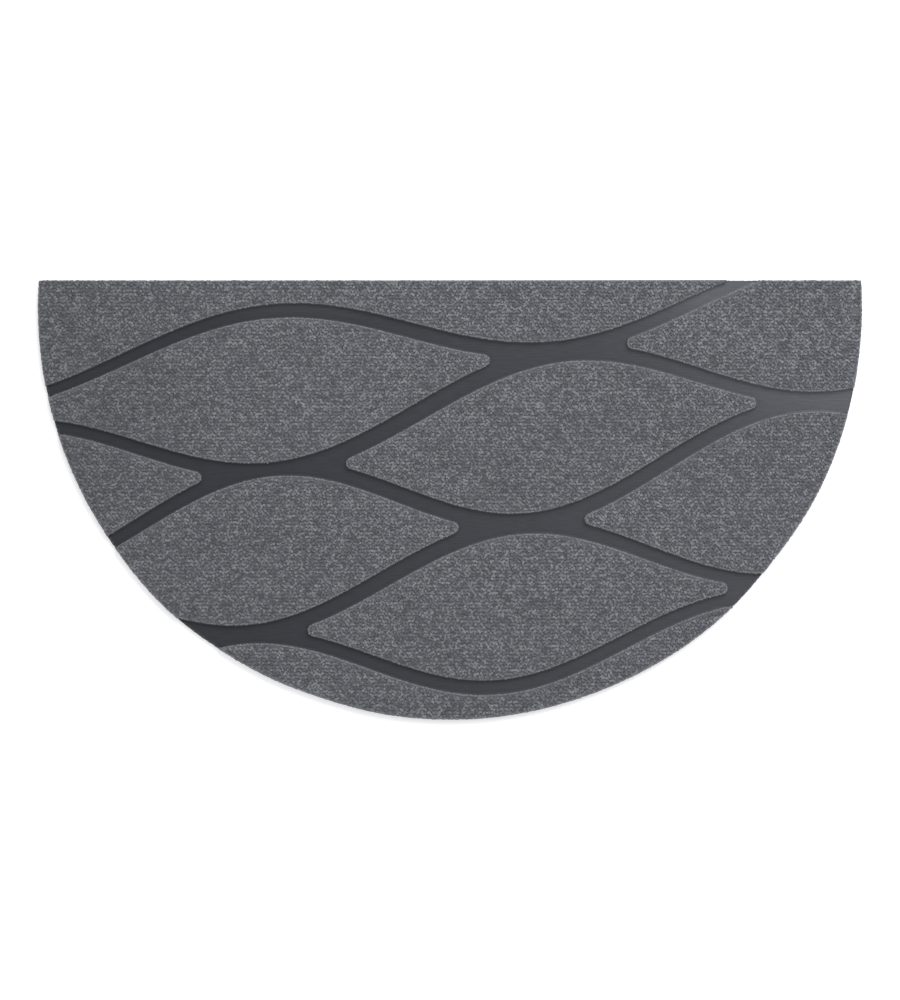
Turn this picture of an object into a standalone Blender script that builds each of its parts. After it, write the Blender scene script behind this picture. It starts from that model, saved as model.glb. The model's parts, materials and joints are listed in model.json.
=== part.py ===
"""Half-round entrance mat: one piece of dense cut pile with sunk channels, for Blender 4.5."""

import math
from collections import namedtuple

import bmesh
import bpy

# Driving dimensions, in metres. The mat lies on z = 0 with its straight edge towards +Y.
WIDTH = 0.750
DEPTH = 0.400
THICKNESS = 0.008
CHANNEL_DEPTH = 0.0035
LAND_TIP_RADIUS = 0.005
POINT_SPACING = 0.008  # along the rim and along the channels
TIP_SEGMENTS = 6
SLOPE_STEP = 0.002  # over which a land's edge is measured for its slope
HALVINGS = 20  # in the search for the end of a land

# The rim is a circle about a point just inside the straight edge.
RIM_RADIUS = WIDTH / 2
RIM_CENTRE_Y = RIM_RADIUS - DEPTH / 2
CORNER_ANGLE = math.asin((DEPTH / 2 - RIM_CENTRE_Y) / RIM_RADIUS)

# Where the cut rim strays from that circle: the direction and the spread in degrees, and how
# far out it goes.
Stray = namedtuple("Stray", "direction spread out")
STRAYS = (
    Stray(direction=-38, spread=7, out=-0.0015),
    Stray(direction=-68, spread=9, out=-0.0005),
    Stray(direction=-108, spread=6, out=-0.0010),
    Stray(direction=-134, spread=8, out=0.0016),
)

# The channels, from the straight edge down. Each runs from side to side as a sine wave about a
# climbing line: its height at x = 0, the climb per metre, the swing to each side, the length of
# one wave, its phase in degrees, and the channel's width at the mat's sides and at x = 0.
Wave = namedtuple("Wave", "height climb swing length phase side_width mid_width")
WAVES = (
    Wave(0.158, 0.10, 0.030, 0.520, 205, 0.011, 0.015),
    Wave(0.084, 0.13, 0.036, 0.510, 20, 0.012, 0.017),
    Wave(0.010, 0.12, 0.038, 0.480, 214, 0.013, 0.016),
    Wave(-0.066, 0.10, 0.036, 0.480, 45, 0.011, 0.016),
    Wave(-0.142, 0.08, 0.032, 0.460, 236, 0.012, 0.014),
)

# The cutters run past the mat by this much on every side.
OVERRUN = 0.030
HALF_SPAN = WIDTH / 2 + OVERRUN

PILE_COLOUR = (0.128, 0.132, 0.147, 1.0)
PILE_ROUGHNESS = 0.95

FLAT_ANGLE = math.radians(0.1)
SHARP_ANGLE = math.radians(40)
WELD_DISTANCE = 0.00005
SHORTEST_EDGE = 0.0004  # where a channel runs out at the rim beside one of the rim's points


def rim_radius(angle):
    """Radius of the cut rim in a direction from the circle's centre."""
    strays = (
        s.out * math.exp(-(((math.degrees(angle) - s.direction) / s.spread) ** 2))
        for s in STRAYS
    )
    return RIM_RADIUS + sum(strays)


def mat_outline():
    """Points round the mat: along the rim from the right corner to the left one."""
    first = CORNER_ANGLE
    last = -math.pi - CORNER_ANGLE
    steps = round(RIM_RADIUS * (first - last) / POINT_SPACING)
    points = []
    for i in range(steps + 1):
        angle = first + (last - first) * i / steps
        radius = rim_radius(angle)
        points.append((radius * math.cos(angle), RIM_CENTRE_Y + radius * math.sin(angle)))
    return points


def wave_angle(wave, x):
    return 2 * math.pi * x / wave.length + math.radians(wave.phase)


def wave_height(wave, x):
    """Height of a channel's middle line."""
    return wave.height + wave.climb * x + wave.swing * math.sin(wave_angle(wave, x))


def half_rise(wave, x):
    """Half of a channel's width, measured along Y where the channel slopes."""
    slope = wave.climb + wave.swing * 2 * math.pi / wave.length * math.cos(wave_angle(wave, x))
    fade = math.cos(math.pi * x / (2 * HALF_SPAN)) ** 2
    width = wave.side_width + (wave.mid_width - wave.side_width) * fade
    return width / 2 * math.hypot(1, slope)


def land_top(index, x):
    """Upper edge of the land under a channel, or past the straight edge for the first land."""
    if index == 0:
        return DEPTH / 2 + OVERRUN
    wave = WAVES[index - 1]
    return wave_height(wave, x) - half_rise(wave, x)


def land_foot(index, x):
    """Lower edge of the land above a channel, or past the rim's foot for the last land."""
    if index == len(WAVES):
        return -DEPTH / 2 - OVERRUN
    wave = WAVES[index]
    return wave_height(wave, x) + half_rise(wave, x)


def lean(edge, index, x):
    """The angle at which an edge of a land climbs."""
    rise = edge(index, x + SLOPE_STEP) - edge(index, x - SLOPE_STEP)
    return math.atan2(rise, 2 * SLOPE_STEP)


def tip_reach(edge, index, x):
    """How far above or below a tip's centre the edge is, where it meets the tip's arc."""
    return LAND_TIP_RADIUS / math.cos(lean(edge, index, x))


def spare_height(index, x):
    """How much taller than its rounded tip a land is. Below zero there is no land."""
    tip_height = tip_reach(land_top, index, x) + tip_reach(land_foot, index, x)
    return land_top(index, x) - land_foot(index, x) - tip_height


def crossing(index, inside, outside):
    """The x between two samples at which a land is down to the height of its tip."""
    for _ in range(HALVINGS):
        middle = (inside + outside) / 2
        if spare_height(index, middle) > 0:
            inside = middle
        else:
            outside = middle
    return inside


def land_runs(index):
    """The first and last x of each stretch over which a land is tall enough to stand."""
    samples = evenly(-HALF_SPAN, HALF_SPAN)
    runs = []
    start = samples[0]
    for before, x in zip(samples, samples[1:]):
        if spare_height(index, before) <= 0 < spare_height(index, x):
            start = crossing(index, x, before)
        if spare_height(index, before) > 0 >= spare_height(index, x):
            runs.append((start, crossing(index, before, x)))
    if spare_height(index, samples[-1]) > 0:
        runs.append((start, samples[-1]))
    return runs


def evenly(first, last):
    """Values from first to last, about a point spacing apart."""
    steps = max(2, round(abs(last - first) / POINT_SPACING))
    return [first + (last - first) * i / steps for i in range(steps + 1)]


def tip(index, x, side):
    """The arc that closes a land at one end, side = 1 on the right: its inner points."""
    if abs(x) > HALF_SPAN - POINT_SPACING:
        return []
    centre_y = land_foot(index, x) + tip_reach(land_foot, index, x)
    top_angle = lean(land_top, index, x) + math.pi / 2
    foot_angle = lean(land_foot, index, x) - math.pi / 2
    if side > 0:
        first, last = top_angle, foot_angle
    else:
        first, last = foot_angle + 2 * math.pi, top_angle
    angles = [first + (last - first) * i / TIP_SEGMENTS for i in range(1, TIP_SEGMENTS)]
    return [
        (x + LAND_TIP_RADIUS * math.cos(angle), centre_y + LAND_TIP_RADIUS * math.sin(angle))
        for angle in angles
    ]


def land_outline(index, first, last):
    """Points round one land: its top from left to right, a tip, its foot back, a tip."""

    def meets(edge, x, side):
        """Where an edge of the land meets the arc of the tip centred at x."""
        return x - side * LAND_TIP_RADIUS * math.sin(lean(edge, index, x))

    tops = evenly(meets(land_top, first, 1), meets(land_top, last, 1))
    feet = evenly(meets(land_foot, last, -1), meets(land_foot, first, -1))
    top = [(x, land_top(index, x)) for x in tops]
    foot = [(x, land_foot(index, x)) for x in feet]
    return top + tip(index, last, 1) + foot + tip(index, first, -1)


def plate(name, outlines, bottom, top, collection):
    """Flat solids between two heights, one for each outline, as one mesh object."""
    curve = bpy.data.curves.new(name, "CURVE")
    curve.dimensions = "2D"
    curve.fill_mode = "BOTH"
    curve.extrude = (top - bottom) / 2
    for outline in outlines:
        spline = curve.splines.new("POLY")
        spline.points.add(len(outline) - 1)
        for point, (x, y) in zip(spline.points, outline):
            point.co = (x, y, 0.0, 1.0)
        spline.use_cyclic_u = True
    drawn = bpy.data.objects.new(name + " outline", curve)
    drawn.location.z = (top + bottom) / 2
    collection.objects.link(drawn)
    bpy.context.view_layer.update()

    evaluated = drawn.evaluated_get(bpy.context.evaluated_depsgraph_get())
    mesh = bpy.data.meshes.new_from_object(evaluated)
    weld_flat(mesh, WELD_DISTANCE)
    made = bpy.data.objects.new(name, mesh)
    made.matrix_world = drawn.matrix_world.copy()
    collection.objects.link(made)
    bpy.data.objects.remove(drawn)
    bpy.data.curves.remove(curve)
    return made


def weld_flat(mesh, distance):
    """Welds points that nearly meet, and makes each flat stretch one face."""
    bm = bmesh.new()
    bm.from_mesh(mesh)
    bmesh.ops.remove_doubles(bm, verts=bm.verts, dist=distance)
    bmesh.ops.dissolve_limit(bm, angle_limit=FLAT_ANGLE, verts=bm.verts, edges=bm.edges)
    bm.to_mesh(mesh)
    bm.free()


def cut(target, cutter):
    """Cuts one object out of another, and leaves the result in the target's mesh."""
    boolean = target.modifiers.new("cut", "BOOLEAN")
    boolean.operation = "DIFFERENCE"
    boolean.solver = "EXACT"
    boolean.object = cutter
    bpy.context.view_layer.update()
    evaluated = target.evaluated_get(bpy.context.evaluated_depsgraph_get())
    uncut = target.data
    target.data = bpy.data.meshes.new_from_object(evaluated)
    target.data.name = target.name
    target.modifiers.remove(boolean)
    bpy.data.meshes.remove(uncut)
    cutter.hide_render = True
    cutter.display_type = "WIRE"


def pile_material():
    material = bpy.data.materials.new("grey pile")
    material.use_nodes = True
    shader = material.node_tree.nodes["Principled BSDF"]
    shader.inputs["Base Color"].default_value = PILE_COLOUR
    shader.inputs["Roughness"].default_value = PILE_ROUGHNESS
    shader.inputs["Metallic"].default_value = 0.0
    return material


def new_collection(name):
    collection = bpy.data.collections.new(name)
    bpy.context.scene.collection.children.link(collection)
    return collection


def main():
    for old in list(bpy.data.objects):
        bpy.data.objects.remove(old)
    parts = new_collection("half-round mat")
    cutters = new_collection("cutters")

    floor = THICKNESS - CHANNEL_DEPTH
    mat = plate("mat", [mat_outline()], 0.0, THICKNESS, parts)

    # The channels are what is left of a plate when the lands are punched out of it.
    reach = DEPTH / 2 + OVERRUN
    corners = [(-HALF_SPAN, -reach), (HALF_SPAN, -reach), (HALF_SPAN, reach), (-HALF_SPAN, reach)]
    channels = plate("channels", [corners], floor, THICKNESS + CHANNEL_DEPTH, cutters)
    outlines = [
        land_outline(index, *run) for index in range(len(WAVES) + 1) for run in land_runs(index)
    ]
    lands = plate("lands", outlines, floor - CHANNEL_DEPTH, THICKNESS + 2 * CHANNEL_DEPTH, cutters)
    cut(channels, lands)
    cut(mat, channels)
    weld_flat(mat.data, SHORTEST_EDGE)
    mat.data.shade_smooth()
    mat.data.set_sharp_from_angle(angle=SHARP_ANGLE)
    mat.data.materials.clear()
    mat.data.materials.append(pile_material())


main()
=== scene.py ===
"""Half-round entrance mat in sculpted cut pile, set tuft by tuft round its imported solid."""

import json
import math

import bmesh
import bpy
import numpy as np
from bpy.props import FloatProperty, FloatVectorProperty, IntProperty, PointerProperty
from mathutils.bvhtree import BVHTree
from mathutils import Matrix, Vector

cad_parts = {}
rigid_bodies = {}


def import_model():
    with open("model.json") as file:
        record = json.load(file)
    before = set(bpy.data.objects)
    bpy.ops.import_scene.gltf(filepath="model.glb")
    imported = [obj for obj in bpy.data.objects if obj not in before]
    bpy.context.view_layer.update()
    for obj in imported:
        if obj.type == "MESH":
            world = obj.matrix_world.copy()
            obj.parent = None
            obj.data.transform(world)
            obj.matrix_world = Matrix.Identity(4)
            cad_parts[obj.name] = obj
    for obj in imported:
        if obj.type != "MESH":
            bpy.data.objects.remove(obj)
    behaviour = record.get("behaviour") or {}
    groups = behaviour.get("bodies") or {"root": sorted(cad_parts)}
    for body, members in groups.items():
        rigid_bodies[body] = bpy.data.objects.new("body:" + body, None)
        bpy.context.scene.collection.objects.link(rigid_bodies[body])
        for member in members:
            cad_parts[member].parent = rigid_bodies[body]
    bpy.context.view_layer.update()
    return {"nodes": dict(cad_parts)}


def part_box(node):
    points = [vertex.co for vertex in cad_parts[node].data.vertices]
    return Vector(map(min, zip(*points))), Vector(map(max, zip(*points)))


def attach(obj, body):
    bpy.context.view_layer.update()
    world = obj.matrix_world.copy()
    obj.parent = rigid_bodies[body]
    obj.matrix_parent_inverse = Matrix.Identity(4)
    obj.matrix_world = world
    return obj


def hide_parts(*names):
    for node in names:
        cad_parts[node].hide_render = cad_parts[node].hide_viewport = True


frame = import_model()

bl_info = {
    "name": "Half-round pile mat",
    "version": (1, 0, 0),
    "blender": (4, 5, 0),
    "location": "3D View > Sidebar > Mat",
    "description": "Sets the tufts, the channels and the stage of a half-round sculpted mat",
    "category": "Object",
}

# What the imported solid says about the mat, in metres.
MAT = "mat"
BODY = "root"
LOW_CORNER, HIGH_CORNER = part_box(MAT)
PILE_TOP = HIGH_CORNER.z
CHANNEL_FLOOR = 0.0045
TOUCH = 0.0001  # heights this close are the same

GROUND = "pressed_ground"
PILE_PIECES = 5
PILE = "pile_rows_"
CHANNEL_EDGES = "channel_edges"
CUT_EDGE = "cut_edge"

# The picture is 900 x 1000 pixels, taken from straight above.
PICTURE_HEIGHT = 1000
PIXEL = 0.0009096  # what one pixel covers at the top of the pile

BAKE_MAP = "OFBake"
SIDES = 5  # of a tuft
FORMS = 4  # of each kind of tuft
YARN_SPREAD = 0.20  # of the greys in a heathered yarn
EDGE_PAINTED_HIGHLIGHT = 0.8  # grey of the yarn along the channels, which splays open, lightened as a painted highlight
RIM_PAINTED_HIGHLIGHT = 0.7  # grey of the yarn round the cut rim, lightened as a painted highlight
YARN_DRIFT = 0.15  # how much of its grey a tuft shares with the one before it in its row
SHARP_TURN = math.radians(40)
SHARP_EDGE = math.radians(40)
FOOT_SPACING = 0.004  # of the points along a channel's foot slopes
FOOT_ROOT = 0.0004  # how far a foot slope goes into the land


class PileSettings(bpy.types.PropertyGroup):
    """Sizes of the pile."""

    row_pitch: FloatProperty(
        name="Row pitch",
        description="Distance between the rows of tufts",
        default=0.0032,
        min=0.002,
        precision=4,
        unit="LENGTH",
    )
    stitch: FloatProperty(
        name="Stitch",
        description="Distance between the tufts of a row, each with two yarn ends",
        default=0.0029,
        min=0.002,
        precision=4,
        unit="LENGTH",
    )
    yarn_radius: FloatProperty(
        name="Yarn radius",
        description="Radius of a yarn end where it is fullest",
        default=0.00132,
        min=0.0003,
        precision=5,
        unit="LENGTH",
    )
    ground_height: FloatProperty(
        name="Ground height",
        description="Height of the matted ground that the pile's ends rise from",
        default=0.0072,
        precision=4,
        unit="LENGTH",
    )
    backing_height: FloatProperty(
        name="Backing height",
        description="Thickness of the backing under the pile",
        default=0.0015,
        precision=4,
        unit="LENGTH",
    )
    scatter: FloatProperty(
        name="Scatter",
        description="How far a yarn end strays from its place in the row",
        default=0.00036,
        precision=5,
        unit="LENGTH",
    )
    tip_scatter: FloatProperty(
        name="Tip scatter",
        description="How far the tips stray from one level",
        default=0.00012,
        precision=5,
        unit="LENGTH",
    )
    lean: FloatProperty(
        name="Lean",
        description="Largest lean of a yarn end",
        default=math.radians(8),
        subtype="ANGLE",
    )
    edge_spacing: FloatProperty(
        name="Edge spacing",
        description="Distance between yarn ends along a channel or the cut edge",
        default=0.0016,
        min=0.0008,
        precision=5,
        unit="LENGTH",
    )
    channel_inset: FloatProperty(
        name="Channel inset",
        description="How far the edge row stands from a channel",
        default=0.0009,
        precision=5,
        unit="LENGTH",
    )
    rim_inset: FloatProperty(
        name="Rim inset",
        description="How far the edge row stands from the cut rim",
        default=0.0011,
        precision=5,
        unit="LENGTH",
    )
    clearance: FloatProperty(
        name="Clearance",
        description="How near to an edge the rows come",
        default=0.0017,
        precision=5,
        unit="LENGTH",
    )
    rib_height: FloatProperty(
        name="Rib height",
        description="Height of the ribs that the pressed rows leave in a channel",
        default=0.00014,
        precision=5,
        unit="LENGTH",
    )
    foot_height: FloatProperty(
        name="Foot height",
        description="How far a channel rises where it meets a land",
        default=0.0016,
        precision=4,
        unit="LENGTH",
    )
    foot_width: FloatProperty(
        name="Foot width",
        description="Width over which a channel rises to a land",
        default=0.0026,
        precision=4,
        unit="LENGTH",
    )
    seed: IntProperty(name="Seed", description="Changes how the tufts stray", default=7)


class ColourSettings(bpy.types.PropertyGroup):
    """Colours of the mat."""

    yarn_dark: FloatVectorProperty(
        name="Dark yarn",
        description="Darkest yarn in the heathered pile",
        subtype="COLOR",
        default=(0.075, 0.078, 0.088),
    )
    yarn_middle: FloatVectorProperty(
        name="Middle yarn",
        description="Commonest yarn in the heathered pile",
        subtype="COLOR",
        default=(0.118, 0.122, 0.136),
    )
    yarn_light: FloatVectorProperty(
        name="Light yarn",
        description="Lightest yarn in the heathered pile",
        subtype="COLOR",
        default=(0.185, 0.190, 0.206),
    )
    # The channels' colours are the pressed pile's own dark grey with painted shade at the left
    # and painted light at the right and far corner.
    floor_left_painted_shade: FloatVectorProperty(
        name="Channel, left",
        description="Colour of the pressed channels at the mat's left side",
        subtype="COLOR",
        default=(0.026, 0.028, 0.034),
    )
    floor_right_painted_light: FloatVectorProperty(
        name="Channel, right",
        description="Colour of the pressed channels at the mat's right side",
        subtype="COLOR",
        default=(0.052, 0.054, 0.062),
    )
    floor_corner_painted_light: FloatVectorProperty(
        name="Channel, far corner",
        description="Colour of the pressed channels near the mat's right corner",
        subtype="COLOR",
        default=(0.092, 0.095, 0.107),
    )
    backing: FloatVectorProperty(
        name="Backing",
        description="Colour of the backing",
        subtype="COLOR",
        default=(0.035, 0.036, 0.040),
    )


class StageSettings(bpy.types.PropertyGroup):
    """The floor, the light and the camera."""

    floor_colour: FloatVectorProperty(
        name="Floor",
        description="Colour of the floor under the mat",
        subtype="COLOR",
        default=(0.93, 0.93, 0.94),
    )
    sky: FloatProperty(
        name="Soft light", description="Strength of the light from all round", default=0.82
    )
    floor_glow: FloatProperty(
        name="Floor glow", description="Light that the floor gives off itself", default=0.30
    )
    key_watts: FloatProperty(
        name="Key light", description="Power of the large lamp", default=58.0
    )
    key_height: FloatProperty(
        name="Key height",
        description="Angle of the large lamp above the floor",
        default=math.radians(42),
        subtype="ANGLE",
    )
    lens: FloatProperty(
        name="Lens", description="Focal length of the camera in millimetres", default=100.0
    )


class Level:
    """A number that varies over a surface. Arithmetic on it adds Math nodes."""

    def __init__(self, finish, socket):
        self.finish = finish
        self.socket = socket

    def _maths(self, operation, first, second):
        socket = self.finish.add(
            "ShaderNodeMath", {"operation": operation}, {0: first, 1: second}
        )
        return Level(self.finish, socket)

    def __add__(self, other):
        return self._maths("ADD", self, other)

    __radd__ = __add__

    def __mul__(self, other):
        return self._maths("MULTIPLY", self, other)

    __rmul__ = __mul__

    def __sub__(self, other):
        return self._maths("SUBTRACT", self, other)

    def __rsub__(self, other):
        return self._maths("SUBTRACT", other, self)


class Finish:
    """A material that is being made."""

    def __init__(self, name, roughness, sheen=0.0):
        self.material = bpy.data.materials.new(name)
        self.material.use_nodes = True
        self.tree = self.material.node_tree
        self.shader = self.tree.nodes["Principled BSDF"]
        self.shader.inputs["Roughness"].default_value = roughness
        self.shader.inputs["Specular IOR Level"].default_value = 0.2
        self.shader.inputs["Sheen Weight"].default_value = sheen
        self.shader.inputs["Sheen Roughness"].default_value = 0.5
        self.place = self.add("ShaderNodeTexCoord", {}, {}, "Object")

    def add(self, kind, settings, values, output=0):
        """Adds a node and returns one of its outputs."""
        node = self.tree.nodes.new(kind)
        for key, value in settings.items():
            if key == "stops":
                self._set_stops(node.color_ramp.elements, value)
            else:
                setattr(node, key, value)
        for key, value in values.items():
            self._fill(node.inputs[key], value)
        return node.outputs[output]

    def _fill(self, socket, value):
        value = value.socket if isinstance(value, Level) else value
        if isinstance(value, bpy.types.NodeSocket):
            self.tree.links.new(value, socket)
        else:
            socket.default_value = value

    def _set_stops(self, elements, stops):
        while len(elements) < len(stops):
            elements.new(1.0)
        for element, (position, colour) in zip(elements, stops):
            element.position = position
            element.color = (*colour, 1.0)

    def level(self, kind, settings, values, output=0):
        return Level(self, self.add(kind, settings, values, output))

    def mark(self, name):
        """A number kept on the mesh under this name."""
        return self.level("ShaderNodeAttribute", {"attribute_name": name}, {}, "Fac")

    def axes(self):
        """The three coordinates of a place on the mat."""
        return [
            self.level("ShaderNodeSeparateXYZ", {}, {"Vector": self.place}, axis)
            for axis in ("X", "Y", "Z")
        ]

    def clouds(self, scale, detail=2.0, stretch=(1.0, 1.0, 1.0)):
        """Soft noise about 0.5, drawn out along an axis where its stretch is small."""
        place = self.add("ShaderNodeMapping", {}, {"Vector": self.place, "Scale": stretch})
        values = {"Vector": place, "Scale": scale, "Detail": detail}
        return self.level("ShaderNodeTexNoise", {}, values, "Fac")

    def between(self, level, low, high):
        """0 at low, 1 at high, and smooth between."""
        settings = {"interpolation_type": "SMOOTHSTEP"}
        values = {"Value": level, "From Min": low, "From Max": high}
        return self.level("ShaderNodeMapRange", settings, values, "Result")

    def blend(self, level, first, second):
        """A colour that goes from first to second."""
        values = {0: level, 6: first, 7: second}
        return self.add("ShaderNodeMix", {"data_type": "RGBA"}, values, 2)

    def scaled(self, colour, level):
        """A colour made lighter or darker."""
        if not isinstance(colour, bpy.types.NodeSocket):
            colour = tuple(colour)[:3]
        values = {0: colour, "Scale": level}
        return self.add("ShaderNodeVectorMath", {"operation": "SCALE"}, values)

    def fill(self, name, value):
        """Feeds one of the shader's inputs."""
        self._fill(self.shader.inputs[name], value)

    def colour_and_bumps(self, colour, height, depth, strength=1.0):
        """Gives the shader its colour, and bumps of this depth where height varies."""
        self.fill("Base Color", colour)
        values = {"Height": height, "Distance": depth, "Strength": strength}
        self.fill("Normal", self.add("ShaderNodeBump", {}, values))
        return self.material


def rgba(colour):
    return (*colour, 1.0)


def yarn_finish(colours):
    """Heathered cut pile: each yarn end has its own grey, with painted shade darkening it towards
    its root and towards the mat's left side.
    """
    finish = Finish("heathered yarn", roughness=0.95, sheen=0.1)
    x, y, _ = finish.axes()
    shade = finish.mark("shade")
    along = finish.mark("along")
    fibres = finish.clouds(2200.0, detail=2.0)
    drift = finish.clouds(9.0, detail=2.0)
    stops = [
        (0.0, colours.yarn_dark),
        (0.5, colours.yarn_middle),
        (1.0, colours.yarn_light),
    ]
    yarn = finish.add("ShaderNodeValToRGB", {"stops": stops}, {"Fac": shade}, "Color")
    # Painted shade: each yarn end is darker towards its root, where the ends shade each other.
    root = 0.76 + 0.24 * finish.between(along, 0.2, 0.95)
    patch = (0.92 + 0.16 * drift) * (0.97 + 0.06 * finish.clouds(45.0))
    mottle = 0.80 + 0.40 * finish.clouds(330.0, detail=1.0, stretch=(0.8, 1.0, 1.0))
    # Painted shade: the pile grows darker towards the mat's left side, where the light falls off.
    side = 0.85 + 0.15 * finish.between(x, -0.40, -0.10)
    tone = root * patch * mottle * side * (0.85 + 0.30 * fibres)
    return finish.colour_and_bumps(finish.scaled(yarn, tone), fibres, 0.0002, 0.6)


def pressed_finish(colours):
    """Pile pressed flat and smooth in the channels, with faint lines along the rows. Its dark
    grey is partly its own and partly painted shade, and it grows lighter to the right and the far
    corner as painted light.
    """
    finish = Finish("pressed pile", roughness=0.85, sheen=0.05)
    x, y, z = finish.axes()
    # Painted light and shade: the channels are darkest at the left and grow lighter towards the
    # right, the far corner and the top edge.
    across = finish.between(x, -0.30, 0.34)
    corner = finish.between(x + y, 0.26, 0.52) + 0.5 * finish.between(y, 0.16, 0.20)
    colour = finish.blend(across, rgba(colours.floor_left_painted_shade), rgba(colours.floor_right_painted_light))
    colour = finish.blend(corner, colour, rgba(colours.floor_corner_painted_light))
    foot = finish.between(z, CHANNEL_FLOOR + 0.0003, CHANNEL_FLOOR + 0.0018)
    colour = finish.blend(foot, colour, rgba(colours.yarn_middle))
    lines = finish.clouds(900.0, detail=2.0, stretch=(0.08, 1.0, 1.0))
    felt = finish.clouds(2600.0, detail=2.0)
    tone = 0.62 + 0.56 * lines + 0.20 * felt
    return finish.colour_and_bumps(finish.scaled(colour, tone), lines + 0.5 * felt, 0.00012, 0.5)


def matted_finish(colours):
    """Roots of the pile, matted together, seen between the yarn ends, darkened with painted
    shade.
    """
    finish = Finish("matted roots", roughness=0.95)
    felt = finish.clouds(1500.0, detail=2.0)
    # A tone below 1 darkens the roots as painted shade between the yarn ends; the felt noise
    # varies it at random.
    tone = 0.78 + 0.20 * felt
    return finish.colour_and_bumps(finish.scaled(colours.yarn_middle, tone), felt, 0.0002, 0.5)


def backing_finish(colours):
    """Dull backing with a fine grain."""
    finish = Finish("dull backing", roughness=0.8)
    grain = finish.clouds(700.0, detail=3.0)
    tone = 0.85 + 0.30 * grain
    return finish.colour_and_bumps(finish.scaled(colours.backing, tone), grain, 0.0002, 0.5)


def merged_mat():
    """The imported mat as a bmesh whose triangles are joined."""
    bm = bmesh.new()
    bm.from_mesh(frame["nodes"][MAT].data)
    bmesh.ops.remove_doubles(bm, verts=bm.verts, dist=TOUCH / 10)
    bm.normal_update()
    return bm


def wall_faces(bm):
    return [face for face in bm.faces if abs(face.normal.z) < 0.5]


def contours(bm, height):
    """Closed loops, anticlockwise from above, where level faces meet walls at a height."""
    edges = {}
    for edge in bm.edges:
        at_height = all(abs(vert.co.z - height) < TOUCH for vert in edge.verts)
        level = [abs(face.normal.z) > 0.5 for face in edge.link_faces]
        if at_height and any(level) and not all(level):
            for vert in edge.verts:
                edges.setdefault(vert.index, []).append(edge.other_vert(vert).index)
    bm.verts.ensure_lookup_table()
    loops, used = [], set()
    for start in edges:
        if start in used:
            continue
        loop = [start]
        while True:
            used.add(loop[-1])
            onward = [vert for vert in edges[loop[-1]] if vert not in used]
            if not onward:
                break
            loop.append(onward[0])
        points = np.array([bm.verts[i].co[:2] for i in loop])
        ahead = np.roll(points, -1, axis=0)
        area = (points[:, 0] * ahead[:, 1] - points[:, 1] * ahead[:, 0]).sum()
        loops.append(points if area > 0 else points[::-1])
    return loops


def turned(vectors):
    """Vectors in the plane, turned a quarter to the right."""
    return np.stack([vectors[:, 1], -vectors[:, 0]], axis=1)


def unit(vectors):
    return vectors / np.linalg.norm(vectors, axis=1, keepdims=True)


def spaced(loop, spacing):
    """Evenly spaced places round a loop, one on each sharp corner.

    Returns the places, the way out at each, and how much further in an inset goes there.
    """
    steps = np.roll(loop, -1, axis=0) - loop
    ways = unit(steps)
    turns = np.arccos(np.clip((np.roll(ways, 1, axis=0) * ways).sum(1), -1, 1))
    corners = np.flatnonzero(turns > SHARP_TURN)
    start = corners[0] if len(corners) else 0
    loop = np.roll(loop, -start, axis=0)
    stops = [int(c - start) for c in corners] or [0]
    closed = np.vstack([loop, loop[:1]])
    lengths = np.linalg.norm(np.diff(closed, axis=0), axis=1)
    travelled = np.concatenate([[0.0], np.cumsum(lengths)])
    places = []
    for first, last in zip(stops, stops[1:] + [len(loop)]):
        begin, end = travelled[first], travelled[last]
        count = max(1, round((end - begin) / spacing))
        along = begin + (end - begin) * np.arange(count) / count
        x = np.interp(along, travelled, closed[:, 0])
        y = np.interp(along, travelled, closed[:, 1])
        places.append(np.stack([x, y], axis=1))
    places = np.vstack(places)
    before = turned(unit(places - np.roll(places, 1, axis=0)))
    after = turned(unit(np.roll(places, -1, axis=0) - places))
    out = unit(before + after)
    mitre = 1 / np.clip((out * after).sum(1), 0.5, 1)
    return places, out, mitre


def runs_above_zero(shares):
    """Lists of the indices at which a closed row of numbers stays above zero."""
    zeros = np.flatnonzero(shares <= 0)
    if not len(zeros):
        return [list(range(len(shares)))]
    order = np.roll(np.arange(len(shares)), -zeros[0])
    runs = [[]]
    for index in order:
        if shares[index] > 0:
            runs[-1].append(int(index))
        elif runs[-1]:
            runs.append([])
    return [run for run in runs if len(run) > 1]


def flat_curve(name, points, closed):
    """A curve of straight steps through points in the plane, as an object."""
    curve = bpy.data.curves.new(name, "CURVE")
    curve.dimensions = "2D"
    curve.fill_mode = "NONE"
    spline = curve.splines.new("POLY")
    spline.points.add(len(points) - 1)
    for point, (x, y) in zip(spline.points, points):
        point.co = (x, y, 0.0, 1.0)
    spline.use_cyclic_u = closed
    return link(bpy.data.objects.new(name, curve))


def swept(profile, places, sizes, closed):
    """A mesh swept along places on the channel floor, its profile's x to the right of the way."""
    drawn = flat_curve("profile", profile, True)
    path = flat_curve("path", places, closed)
    for point, size in zip(path.data.splines[0].points, sizes):
        point.co.z = CHANNEL_FLOOR
        point.radius = size
    path.data.dimensions = "3D"
    path.data.twist_mode = "Z_UP"
    path.data.bevel_mode = "OBJECT"
    path.data.bevel_object = drawn
    path.data.use_fill_caps = not closed
    graph = bpy.context.evaluated_depsgraph_get()
    mesh = bpy.data.meshes.new_from_object(path.evaluated_get(graph))
    for spare in (path, drawn):
        curve = spare.data
        bpy.data.objects.remove(spare)
        bpy.data.curves.remove(curve)
    bm = bmesh.new()
    bm.from_mesh(mesh)
    bmesh.ops.remove_doubles(bm, verts=bm.verts, dist=TOUCH / 10)
    bmesh.ops.recalc_face_normals(bm, faces=bm.faces)
    bm.to_mesh(mesh)
    bm.free()
    return mesh


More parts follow.
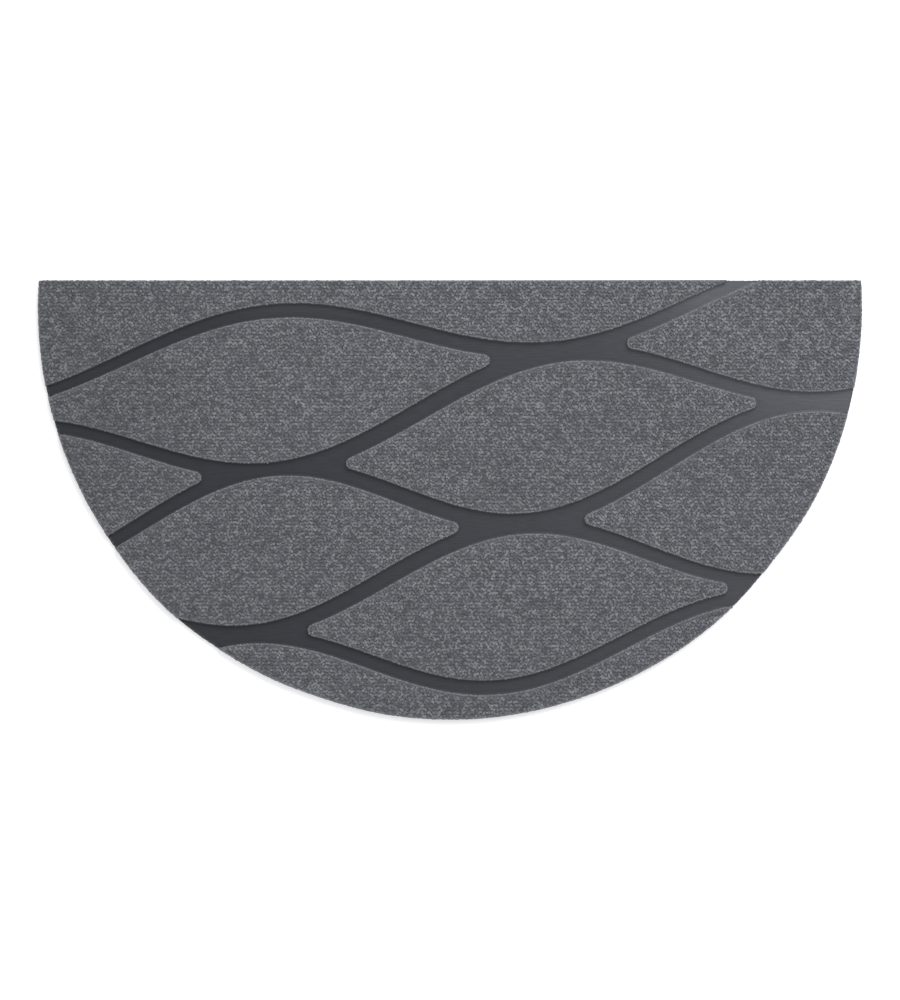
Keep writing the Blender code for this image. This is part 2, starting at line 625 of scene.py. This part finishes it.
class Tufts:
    """The yarn ends of one piece, before they are set."""

    def __init__(self, chance):
        self.chance = chance
        self.rows = []

    def add(self, x, y, root, tip, radius, lean, toward, shade):
        self.rows.append((x, y, root, tip - root, radius, lean, toward, shade))

    def split(self, count):
        """The same yarn ends shared out in order."""
        parts = []
        for rows in np.array_split(np.array(self.rows), count):
            part = Tufts(self.chance)
            part.rows = list(map(tuple, rows))
            parts.append(part)
        return parts

    def as_points(self, name):
        """A mesh with one point for each yarn end, which carries what the end is like."""
        x, y, root, height, radius, lean, toward, shade = np.array(self.rows).T
        count = len(self.rows)
        mesh = bpy.data.meshes.new(name)
        mesh.vertices.add(count)
        mesh.vertices.foreach_set("co", np.stack([x, y, root], 1).ravel())
        zero = np.zeros(count)
        marks = {
            "turn": ("FLOAT_VECTOR", "vector", np.stack([zero, lean, toward], 1)),
            "size": ("FLOAT_VECTOR", "vector", np.stack([radius, radius, height], 1)),
            "shade": ("FLOAT", "value", shade),
            "form": ("INT", "value", self.chance.integers(0, FORMS, count)),
            "number": ("INT", "value", np.arange(count)),
        }
        for mark, (kind, field, values) in marks.items():
            kept = mesh.attributes.new(mark, kind, "POINT")
            kept.data.foreach_set(field, values.ravel())
        return mesh


def yarn_end(name, rings, chance):
    """One yarn end of height and radius 1, with its root at the origin.

    rings are (height, radius) pairs from the root up. A first radius of 0 makes a point.
    """
    bm = bmesh.new()
    along = bm.verts.layers.float.new("along")
    pointed = rings[0][1] == 0
    body = rings[1:] if pointed else rings
    (low, low_radius), (high, high_radius) = body[:2]
    bmesh.ops.create_cone(
        bm,
        cap_ends=True,
        segments=SIDES,
        radius1=low_radius,
        radius2=high_radius,
        depth=high - low,
    )
    bmesh.ops.translate(bm, verts=bm.verts, vec=(0, 0, (low + high) / 2))
    for height, radius in body[2:]:
        top = max(bm.faces, key=lambda face: face.calc_center_median().z)
        ring = bmesh.ops.extrude_discrete_faces(bm, faces=[top])["faces"][0]
        middle = ring.calc_center_median()
        reach = (ring.verts[0].co - middle).length
        for vert in ring.verts:
            vert.co.xy = vert.co.xy * radius / reach
            vert.co.z = height
    if pointed:
        foot = min(bm.faces, key=lambda face: face.calc_center_median().z)
        point = bmesh.ops.poke(bm, faces=[foot])["verts"][0]
        point.co.z = 0.0
    for vert in bm.verts:
        vert[along] = min(1.0, max(0.0, vert.co.z))
        if vert.co.z > 0.01:
            vert.co.xy = vert.co.xy * chance.uniform(0.88, 1.14)
            vert.co.z += chance.uniform(-0.02, 0.02)
    bmesh.ops.recalc_face_normals(bm, faces=bm.faces)
    lay_out(bm, along)
    tip = max(bm.faces, key=lambda face: face.calc_center_median().z)
    for face in bm.faces:
        face.smooth = face is not tip
    mesh = bpy.data.meshes.new(name)
    bm.to_mesh(mesh)
    bm.free()
    return bpy.data.objects.new(name, mesh)


def lay_out(bm, along):
    """Lays a yarn end flat within a unit square: rings about the tip, the foot beside them."""
    layer = bm.loops.layers.uv.new(BAKE_MAP)
    foot = min(bm.faces, key=lambda face: face.calc_center_median().z)
    has_foot = foot.normal.z < -0.9
    for face in bm.faces:
        for loop in face.loops:
            angle = math.atan2(loop.vert.co.y, loop.vert.co.x)
            if has_foot and face is foot:
                middle, reach = 0.90, 0.07
            else:
                middle, reach = 0.44, 0.42 - 0.26 * loop.vert[along]
            if loop.vert.co.xy.length < 0.05:
                angle = mean_angle(face)
            loop[layer].uv = (
                middle + reach * math.cos(angle),
                middle + reach * math.sin(angle),
            )


def mean_angle(face):
    middle = face.calc_center_median()
    return math.atan2(middle.y, middle.x)


def tuft_setter(forms, material):
    """The node group that stands a yarn end on every point and makes them one mesh."""
    tree = bpy.data.node_groups.new("tuft setter", "GeometryNodeTree")
    for way in ("INPUT", "OUTPUT"):
        tree.interface.new_socket("Geometry", in_out=way, socket_type="NodeSocketGeometry")

    def node(kind, values=None, **settings):
        made = tree.nodes.new(kind)
        for key, value in settings.items():
            setattr(made, key, value)
        for key, value in (values or {}).items():
            if isinstance(value, bpy.types.NodeSocket):
                tree.links.new(value, made.inputs[key])
            else:
                made.inputs[key].default_value = value
        return made

    def mark(name, kind):
        made = node("GeometryNodeInputNamedAttribute", {"Name": name}, data_type=kind)
        return next(socket for socket in made.outputs if socket.enabled)

    start = node("NodeGroupInput")
    ends = node(
        "GeometryNodeCollectionInfo",
        {"Collection": forms, "Separate Children": True, "Reset Children": True},
    )
    turn = node("FunctionNodeEulerToRotation", {"Euler": mark("turn", "FLOAT_VECTOR")})
    placed = node(
        "GeometryNodeInstanceOnPoints",
        {
            "Points": start.outputs["Geometry"],
            "Instance": ends.outputs[0],
            "Pick Instance": True,
            "Instance Index": mark("form", "INT"),
            "Rotation": turn.outputs["Rotation"],
            "Scale": mark("size", "FLOAT_VECTOR"),
        },
    )
    joined = node("GeometryNodeRealizeInstances", {"Geometry": placed.outputs[0]})
    dressed = node(
        "GeometryNodeSetMaterial", {"Geometry": joined.outputs[0], "Material": material}
    )
    node("NodeGroupOutput", {"Geometry": dressed.outputs[0]})
    return tree


def link(made):
    bpy.context.scene.collection.objects.link(made)
    return made


def set_tufts(name, tufts, rings, material):
    """Stands the yarn ends on their places as one finished piece."""
    forms = bpy.data.collections.new("yarn ends")
    bpy.context.scene.collection.children.link(forms)
    for i in range(FORMS):
        forms.objects.link(yarn_end(f"yarn end {i}", rings, tufts.chance))
    points = link(bpy.data.objects.new(name + " places", tufts.as_points(name + " places")))
    setter = points.modifiers.new("set", "NODES")
    setter.node_group = tuft_setter(forms, material)
    graph = bpy.context.evaluated_depsgraph_get()
    mesh = bpy.data.meshes.new_from_object(
        points.evaluated_get(graph), preserve_all_data_layers=True, depsgraph=graph
    )
    mesh.name = name
    share_out(mesh, len(tufts.rows))
    mesh.materials.clear()
    mesh.materials.append(material)
    group = setter.node_group
    for spare in [points, *forms.objects]:
        spare_mesh = spare.data
        bpy.data.objects.remove(spare)
        bpy.data.meshes.remove(spare_mesh)
    bpy.data.collections.remove(forms)
    bpy.data.node_groups.remove(group)
    return link(bpy.data.objects.new(name, mesh))


def share_out(mesh, count):
    """Gives each yarn end its own square of the piece's map."""
    across = math.ceil(math.sqrt(count))
    numbers = np.empty(len(mesh.vertices), np.int32)
    mesh.attributes["number"].data.foreach_get("value", numbers)
    corners = np.empty(len(mesh.loops), np.int32)
    mesh.loops.foreach_get("vertex_index", corners)
    places = np.empty(len(mesh.loops) * 2, np.float32)
    layer = mesh.uv_layers[BAKE_MAP]
    layer.uv.foreach_get("vector", places)
    number = numbers[corners]
    square = np.stack([number % across, number // across], 1)
    places = (square + places.reshape(-1, 2)) / across
    layer.uv.foreach_set("vector", places.astype(np.float32).ravel())
    for mark in ("number", "form", "turn", "size"):
        kept = mesh.attributes.get(mark)
        if kept:
            mesh.attributes.remove(kept)


def as_piece(made, *replaced):
    """Makes an object a piece of the mat."""
    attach(made, BODY)
    if replaced:
        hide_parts(*replaced)
    return made


def yarn_shade(chance, before=None, middle=0.5):
    """The grey of a tuft's yarn, from 0, dark, to 1, light. It drifts along a row."""
    if before is None:
        return float(np.clip(chance.normal(middle, YARN_SPREAD), 0, 1))
    kept = YARN_DRIFT * (before - 0.5)
    fresh = chance.normal(0, YARN_SPREAD * math.sqrt(1 - YARN_DRIFT**2))
    return float(np.clip(0.5 + kept + fresh, 0, 1))


def shared_material(name, make, colours):
    return bpy.data.materials.get(name) or make(colours)


class DOORMAT_OT_ground(bpy.types.Operator):
    """Makes the mat's ground, with the pressed channels and the backing"""

    bl_idname = "doormat.ground"
    bl_label = "Ground and channels"

    def execute(self, context):
        pile = context.scene.mat_pile
        colours = context.scene.mat_colours
        bm = merged_mat()
        outline, lands = contours(bm, 0.0)[0], contours(bm, PILE_TOP)
        self.rib_channels(bm, pile)
        for vert in bm.verts:
            if vert.co.z > PILE_TOP - TOUCH:
                vert.co.z = pile.ground_height
        bmesh.ops.bisect_plane(
            bm,
            geom=[*bm.verts, *bm.edges, *bm.faces],
            dist=TOUCH / 100,
            plane_co=(0, 0, pile.backing_height),
            plane_no=(0, 0, 1),
        )
        bm.normal_update()
        self.draw_in_rim(bm, pile, outline)
        self.foot_slopes(bm, pile, outline, lands)
        bmesh.ops.dissolve_degenerate(bm, dist=TOUCH / 100, edges=bm.edges)
        for face in bm.faces:
            height = face.calc_center_median().z
            if height < pile.backing_height:
                face.material_index = 2
            elif height > pile.ground_height - TOUCH:
                face.material_index = 1
            face.smooth = True
        mesh = bpy.data.meshes.new(GROUND)
        bm.to_mesh(mesh)
        bm.free()
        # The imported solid's own normals no longer fit, and they hide its sharp edges.
        mesh.attributes.remove(mesh.attributes["custom_normal"])
        mesh.set_sharp_from_angle(angle=SHARP_EDGE)
        for finish in (pressed_finish, matted_finish, backing_finish):
            mesh.materials.append(finish(colours))
        as_piece(link(bpy.data.objects.new(GROUND, mesh)), MAT)
        return {"FINISHED"}

    def foot_slopes(self, bm, pile, outline, lands):
        """Lets the channels rise where they meet the lands, in strips that fade at the rim."""
        width, height = pile.foot_width, pile.foot_height
        profile = [
            (-FOOT_ROOT, -2 * TOUCH),
            (width, -2 * TOUCH),
            (0.4 * width, 0.35 * height),
            (-FOOT_ROOT, height),
        ]
        for loop in lands:
            places = spaced(loop, FOOT_SPACING)[0]
            room = [distance_to_line(place, outline) - pile.rim_inset for place in places]
            shares = np.clip(np.array(room) / width, 0, 1)
            for run in runs_above_zero(shares):
                strip = swept(profile, places[run], shares[run], len(run) == len(places))
                bm.from_mesh(strip)
                bpy.data.meshes.remove(strip)

    def draw_in_rim(self, bm, pile, outline):
        """Draws the cut rim in above the backing, so the yarn ends round it cover it."""
        shifts = {}
        for face in wall_faces(bm):
            middle = face.calc_center_median()
            if distance_to_line(np.array(middle.xy), outline) < TOUCH:
                for vert in face.verts:
                    if vert.co.z > pile.backing_height + TOUCH:
                        shifts[vert] = shifts.get(vert, 0 * face.normal) + face.normal
        for vert, shift in shifts.items():
            vert.co -= shift.normalized() * pile.rim_inset / 2

    def rib_channels(self, bm, pile):
        """Cuts the channel floors along every row and between the rows, and ribs them."""

        def on_floor(face):
            height = face.calc_center_median().z
            return abs(height - CHANNEL_FLOOR) < TOUCH and abs(face.normal.z) > 0.5

        half = pile.row_pitch / 2
        cuts = int((HIGH_CORNER.y - LOW_CORNER.y) / half)
        for i in range(1, cuts):
            floors = [face for face in bm.faces if on_floor(face)]
            edges = {edge for face in floors for edge in face.edges}
            verts = {vert for face in floors for vert in face.verts}
            bmesh.ops.bisect_plane(
                bm,
                geom=[*verts, *edges, *floors],
                dist=TOUCH / 100,
                plane_co=(0, LOW_CORNER.y + i * half, 0),
                plane_no=(0, 1, 0),
            )
        for vert in bm.verts:
            if abs(vert.co.z - CHANNEL_FLOOR) < TOUCH:
                steps = (vert.co.y - LOW_CORNER.y) / half
                rise = abs(steps % 2 - 1)
                vert.co.z += pile.rib_height * (rise - 0.5)


def top_heights(bm):
    """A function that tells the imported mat's height at a place, or None beside it."""
    tree = BVHTree.FromBMesh(bm)

    def height(x, y):
        hit = tree.ray_cast((x, y, 2 * PILE_TOP), (0, 0, -1))[0]
        return hit.z if hit else None

    return height


def edge_distances(bm):
    """A function that tells how far a place is from the nearest channel or rim."""
    walls = wall_faces(bm)
    index = {}
    for face in walls:
        for vert in face.verts:
            index.setdefault(vert, len(index))
    verts = [vert.co.copy() for vert in index]
    tree = BVHTree.FromPolygons(verts, [[index[v] for v in face.verts] for face in walls])
    middle = (CHANNEL_FLOOR + PILE_TOP) / 2

    def distance(x, y):
        return tree.find_nearest((x, y, middle))[3]

    return distance


class DOORMAT_OT_pile(bpy.types.Operator):
    """Sets the rows of tufts that cover the lands between the channels"""

    bl_idname = "doormat.pile"
    bl_label = "Pile rows"

    RINGS = ((0.0, 0.0), (0.72, 1.0), (1.0, 0.84))

    def execute(self, context):
        pile = context.scene.mat_pile
        bm = merged_mat()
        height, distance = top_heights(bm), edge_distances(bm)
        tufts = Tufts(np.random.default_rng(pile.seed))
        chance = tufts.chance
        root = pile.ground_height - 0.0008
        rows = int((HIGH_CORNER.y - LOW_CORNER.y) / pile.row_pitch) + 1
        columns = int((HIGH_CORNER.x - LOW_CORNER.x) / pile.stitch) + 1
        for row in range(rows):
            offset = chance.uniform(0, pile.stitch)
            shade = yarn_shade(chance)
            for column in range(columns):
                offset += chance.normal(0, pile.stitch / 10)
                shade = yarn_shade(chance, shade)
                strays = chance.normal(0, pile.scatter, 4)
                slant = chance.choice((-1, 1))
                for end, side in enumerate((-1, 1)):
                    x = LOW_CORNER.x + column * pile.stitch + offset
                    x += side * pile.stitch / 4 + strays[2 * end]
                    y = LOW_CORNER.y + row * pile.row_pitch
                    y += side * slant * pile.row_pitch * 0.18 + strays[2 * end + 1]
                    top = height(x, y)
                    if top is None or top < PILE_TOP - TOUCH:
                        continue
                    if distance(x, y) < pile.clearance:
                        continue
                    tufts.add(
                        x,
                        y,
                        root,
                        PILE_TOP + chance.normal(0, pile.tip_scatter),
                        pile.yarn_radius * chance.uniform(0.85, 1.15),
                        chance.uniform(0, pile.lean),
                        chance.uniform(0, 2 * math.pi),
                        min(1, max(0, shade + chance.normal(0, 0.24))),
                    )
        bm.free()
        yarn = shared_material("heathered yarn", yarn_finish, context.scene.mat_colours)
        for i, part in enumerate(tufts.split(PILE_PIECES)):
            as_piece(set_tufts(PILE + str(i + 1), part, self.RINGS, yarn))
        return {"FINISHED"}


class DOORMAT_OT_channel_edges(bpy.types.Operator):
    """Sets the close rows of tufts that stand along both sides of every channel"""

    bl_idname = "doormat.channel_edges"
    bl_label = "Channel edges"

    RINGS = ((0.0, 0.85), (0.72, 1.0), (1.0, 0.42))

    def execute(self, context):
        pile = context.scene.mat_pile
        bm = merged_mat()
        outline = contours(bm, 0.0)[0]
        tufts = Tufts(np.random.default_rng(pile.seed + 1))
        chance = tufts.chance
        for loop in contours(bm, PILE_TOP):
            places, out, mitre = spaced(loop, pile.edge_spacing)
            for place, way, further in zip(places, out, mitre):
                if distance_to_line(place, outline) < pile.channel_inset:
                    continue
                x, y = place - way * pile.channel_inset * further
                tufts.add(
                    x + chance.normal(0, 0.00018),
                    y + chance.normal(0, 0.00018),
                    CHANNEL_FLOOR - 0.0002,
                    PILE_TOP - 0.0002 + chance.normal(0, pile.tip_scatter),
                    pile.yarn_radius * chance.uniform(0.85, 1.0),
                    math.radians(chance.uniform(4, 11)),
                    math.atan2(way[1], way[0]) + chance.normal(0, 0.3),
                    # Painted highlight: the yarn along the channels is lighter than the pile's.
                    yarn_shade(chance, middle=EDGE_PAINTED_HIGHLIGHT),
                )
        bm.free()
        yarn = shared_material("heathered yarn", yarn_finish, context.scene.mat_colours)
        as_piece(set_tufts(CHANNEL_EDGES, tufts, self.RINGS, yarn))
        return {"FINISHED"}


def distance_to_line(place, loop):
    """Distance in the plane from a place to a closed line."""
    steps = np.roll(loop, -1, axis=0) - loop
    along = ((place - loop) * steps).sum(1) / (steps**2).sum(1)
    nearest = loop + steps * np.clip(along, 0, 1)[:, None]
    return float(np.linalg.norm(nearest - place, axis=1).min())


class DOORMAT_OT_cut_edge(bpy.types.Operator):
    """Sets the close row of tufts that shows round the cut edge of the mat"""

    bl_idname = "doormat.cut_edge"
    bl_label = "Cut edge"

    RINGS = ((0.0, 0.90), (0.90, 1.0), (1.0, 0.65))

    def execute(self, context):
        pile = context.scene.mat_pile
        bm = merged_mat()
        height = top_heights(bm)
        tufts = Tufts(np.random.default_rng(pile.seed + 2))
        chance = tufts.chance
        for loop in contours(bm, 0.0):
            places, out, mitre = spaced(loop, pile.edge_spacing)
            for place, way, further in zip(places, out, mitre):
                x, y = place - way * pile.rim_inset * further
                top = height(x, y)
                if top is None:
                    raise RuntimeError(f"the cut edge leaves the mat at {x:.4f}, {y:.4f}")
                on_land = top > PILE_TOP - TOUCH
                tip = top - 0.0001 + chance.normal(0, pile.tip_scatter / (1 if on_land else 4))
                tufts.add(
                    x + chance.normal(0, 0.0001),
                    y + chance.normal(0, 0.0001),
                    pile.backing_height - 0.0001,
                    tip if on_land else CHANNEL_FLOOR,
                    pile.yarn_radius * chance.uniform(0.85, 1.0),
                    math.radians(chance.uniform(0, 2.5)),
                    math.atan2(way[1], way[0]) + chance.normal(0, 0.5),
                    # Painted highlight: the yarn round the cut rim is lighter than the pile's.
                    yarn_shade(chance, middle=RIM_PAINTED_HIGHLIGHT) if on_land else 0.0,
                )
        bm.free()
        yarn = shared_material("heathered yarn", yarn_finish, context.scene.mat_colours)
        as_piece(set_tufts(CUT_EDGE, tufts, self.RINGS, yarn))
        return {"FINISHED"}


class DOORMAT_OT_lay(bpy.types.Operator):
    """Takes no step of its own; the finished mat already lies on the floor"""

    bl_idname = "doormat.lay"
    bl_label = "Lay the mat"

    def execute(self, context):
        return {"FINISHED"}


class DOORMAT_OT_stage(bpy.types.Operator):
    """Sets the floor, the light and the camera above the mat"""

    bl_idname = "doormat.stage"
    bl_label = "Stage"

    FLOOR_HALF = 12.0

    def execute(self, context):
        stage = context.scene.mat_stage
        self.floor(stage)
        self.sky(context.scene, stage)
        self.lamp(stage)
        self.camera(context.scene, stage)
        context.scene.view_settings.view_transform = "Standard"
        return {"FINISHED"}

    def floor(self, stage):
        finish = Finish("pale floor", roughness=0.9)
        speck = finish.clouds(60.0, detail=2.0)
        colour = finish.scaled(stage.floor_colour, 0.99 + 0.02 * speck)
        finish.fill("Base Color", colour)
        finish.fill("Emission Color", rgba(stage.floor_colour))
        finish.fill("Emission Strength", stage.floor_glow)
        bm = bmesh.new()
        bmesh.ops.create_grid(bm, x_segments=1, y_segments=1, size=self.FLOOR_HALF)
        bmesh.ops.translate(bm, verts=bm.verts, vec=(0, 0, LOW_CORNER.z - TOUCH))
        mesh = bpy.data.meshes.new("floor")
        bm.to_mesh(mesh)
        bm.free()
        mesh.materials.append(finish.material)
        link(bpy.data.objects.new("floor", mesh))

    def sky(self, scene, stage):
        world = bpy.data.worlds.new("soft light")
        world.use_nodes = True
        background = world.node_tree.nodes["Background"]
        background.inputs["Color"].default_value = (1.0, 1.0, 1.0, 1.0)
        background.inputs["Strength"].default_value = stage.sky
        scene.world = world

    def lamp(self, stage):
        light = bpy.data.lights.new("large lamp", "AREA")
        light.shape = "RECTANGLE"
        light.size = 2.2
        light.size_y = 2.0
        light.energy = stage.key_watts
        lamp = link(bpy.data.objects.new("large lamp", light))
        distance = 2.6
        side = math.radians(27)
        flat = distance * math.cos(stage.key_height)
        lamp.location = (
            flat * math.sin(side),
            flat * math.cos(side),
            distance * math.sin(stage.key_height),
        )
        lamp.rotation_euler = lamp.location.to_track_quat("Z", "Y").to_euler()

    def camera(self, scene, stage):
        data = bpy.data.cameras.new("camera")
        data.lens = stage.lens
        camera = link(bpy.data.objects.new("camera", data))
        seen = PICTURE_HEIGHT * PIXEL
        camera.location.z = PILE_TOP + stage.lens / data.sensor_width * seen
        scene.camera = camera


STEPS = (
    DOORMAT_OT_ground,
    DOORMAT_OT_pile,
    DOORMAT_OT_channel_edges,
    DOORMAT_OT_cut_edge,
    DOORMAT_OT_lay,
    DOORMAT_OT_stage,
)


class DOORMAT_PT_sidebar(bpy.types.Panel):
    """Lists the steps of making the mat"""

    bl_label = "Half-round mat"
    bl_idname = "DOORMAT_PT_sidebar"
    bl_space_type = "VIEW_3D"
    bl_region_type = "UI"
    bl_category = "Mat"

    def draw(self, context):
        for group in (context.scene.mat_pile, context.scene.mat_colours, context.scene.mat_stage):
            column = self.layout.column(align=True)
            for name in group.__annotations__:
                column.prop(group, name)
        for step in STEPS:
            self.layout.operator(step.bl_idname)


CLASSES = (PileSettings, ColourSettings, StageSettings, *STEPS, DOORMAT_PT_sidebar)


def register():
    for each in CLASSES:
        bpy.utils.register_class(each)
    bpy.types.Scene.mat_pile = PointerProperty(type=PileSettings)
    bpy.types.Scene.mat_colours = PointerProperty(type=ColourSettings)
    bpy.types.Scene.mat_stage = PointerProperty(type=StageSettings)


def unregister():
    del bpy.types.Scene.mat_pile
    del bpy.types.Scene.mat_colours
    del bpy.types.Scene.mat_stage
    for each in reversed(CLASSES):
        bpy.utils.unregister_class(each)


def main():
    register()
    bpy.ops.doormat.ground()
    bpy.ops.doormat.pile()
    bpy.ops.doormat.channel_edges()
    bpy.ops.doormat.cut_edge()
    bpy.ops.doormat.lay()
    bpy.ops.doormat.stage()


if __name__ == "__main__":
    main()
